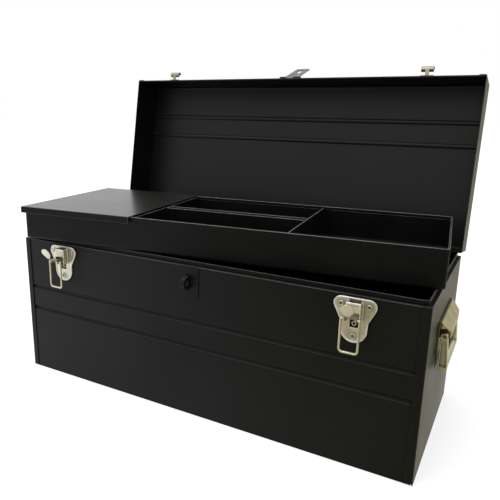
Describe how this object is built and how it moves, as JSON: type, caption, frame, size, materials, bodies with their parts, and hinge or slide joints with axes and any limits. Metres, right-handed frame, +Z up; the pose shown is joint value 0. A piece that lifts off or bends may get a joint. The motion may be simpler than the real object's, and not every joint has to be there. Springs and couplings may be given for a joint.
{
  "type": "tool case",
  "caption": "Black folded-steel tool case with a hinged lid, draw latches, hasp and staple, drop handles at the ends and a loose compartment tray with a sliding cover.",
  "frame": {"origin": "on the floor, under the middle of the body", "axes": "+X to the right along the case's length, +Y to the back, +Z up; the front with the latches faces -Y"},
  "size_m": [0.628, 0.4135, 0.4814],
  "materials": {
    "black_paint": "semi-gloss black paint",
    "nickel_plate": "nickel plate",
    "bare_steel": "bare steel"
  },
  "bodies": {
    "case": {"body_wrap": "black_paint", "end_left": "black_paint", "end_right": "black_paint", "rim_frame": "black_paint", "tray_rest_left": "black_paint", "tray_rest_right": "black_paint", "staple_plate": "black_paint", "staple": "black_paint", "hinge_body_leaf": "black_paint", "hinge_rod": "bare_steel", "hinge_rivets": "black_paint", "latch_left_base": "nickel_plate", "latch_left_pin": "nickel_plate", "latch_right_base": "nickel_plate", "latch_right_pin": "nickel_plate", "latch_rivets": "nickel_plate", "handle_left_plate": "nickel_plate", "handle_left_rod": "bare_steel", "handle_right_plate": "nickel_plate", "handle_right_rod": "bare_steel", "handle_rivets": "nickel_plate"},
    "lid": {"lid_wrap": "black_paint", "lid_cap_left": "black_paint", "lid_cap_right": "black_paint", "hinge_lid_leaf": "black_paint", "lid_hinge_rivets": "black_paint", "keeper_left": "nickel_plate", "keeper_right": "nickel_plate", "keeper_rivets": "nickel_plate", "hasp_base": "black_paint", "hasp_pin": "bare_steel"},
    "hasp": {"hasp_leaf": "bare_steel"},
    "left_lever": {"latch_left_lever": "nickel_plate"},
    "left_bail": {"latch_left_bail": "nickel_plate"},
    "right_lever": {"latch_right_lever": "nickel_plate"},
    "right_bail": {"latch_right_bail": "nickel_plate"},
    "left_handle": {"handle_left_bail": "nickel_plate"},
    "right_handle": {"handle_right_bail": "nickel_plate"},
    "tray": {"tray_pan": "black_paint", "tray_cross_left": "black_paint", "tray_cross_right": "black_paint", "tray_long_divider": "black_paint"},
    "cover": {"tray_cover": "black_paint"}
  },
  "joints": [
    {"name": "lid_hinge", "type": "hinge", "parent": "case", "child": "lid", "pos_m": [0, 0.1275, 0.21415], "axis": [1, 0, 0], "range_deg": [0, 100]},
    {"name": "tray_turn", "type": "hinge", "parent": "case", "child": "tray", "pos_m": [0.05895, 0.01454, 0.22015], "axis": [0, 0, 1], "range_deg": [-6.3, 0]},
    {"name": "tray_cover_slide", "type": "slide", "parent": "tray", "child": "cover", "axis": [0.994, 0.1097, 0], "range_m": [0, 0.4]},
    {"name": "hasp_turn", "type": "hinge", "parent": "lid", "child": "hasp", "pos_m": [0, 0.19145, 0.46252], "axis": [1, 0, 0], "range_deg": [0, 153]},
    {"name": "latch_left_lever_turn", "type": "hinge", "parent": "case", "child": "left_lever", "pos_m": [-0.22, -0.1313, 0.19], "axis": [1, 0, 0], "range_deg": [0, 109]},
    {"name": "latch_left_bail_turn", "type": "hinge", "parent": "left_lever", "child": "left_bail", "pos_m": [-0.22, -0.1423, 0.191], "axis": [1, 0, 0], "range_deg": [-289.11, 0]},
    {"name": "latch_right_lever_turn", "type": "hinge", "parent": "case", "child": "right_lever", "pos_m": [0.22, -0.1313, 0.19], "axis": [1, 0, 0], "range_deg": [0, 109]},
    {"name": "latch_right_bail_turn", "type": "hinge", "parent": "right_lever", "child": "right_bail", "pos_m": [0.22, -0.1423, 0.191], "axis": [1, 0, 0], "range_deg": [-289.11, 0]},
    {"name": "handle_left_swing", "type": "hinge", "parent": "case", "child": "left_handle", "pos_m": [-0.307, 0, 0.1555], "axis": [0, 1, 0], "range_deg": [0, 90]},
    {"name": "handle_right_swing", "type": "hinge", "parent": "case", "child": "right_handle", "pos_m": [0.307, 0, 0.1555], "axis": [0, -1, 0], "range_deg": [0, 90]}
  ],
  "couplings": [
    {"joint": "tray_turn", "follows": "lid_hinge", "ratio": -0.063},
    {"joint": "latch_left_bail_turn", "follows": "latch_left_lever_turn", "ratio": -2.6522},
    {"joint": "latch_right_bail_turn", "follows": "latch_right_lever_turn", "ratio": -2.6522}
  ]
}
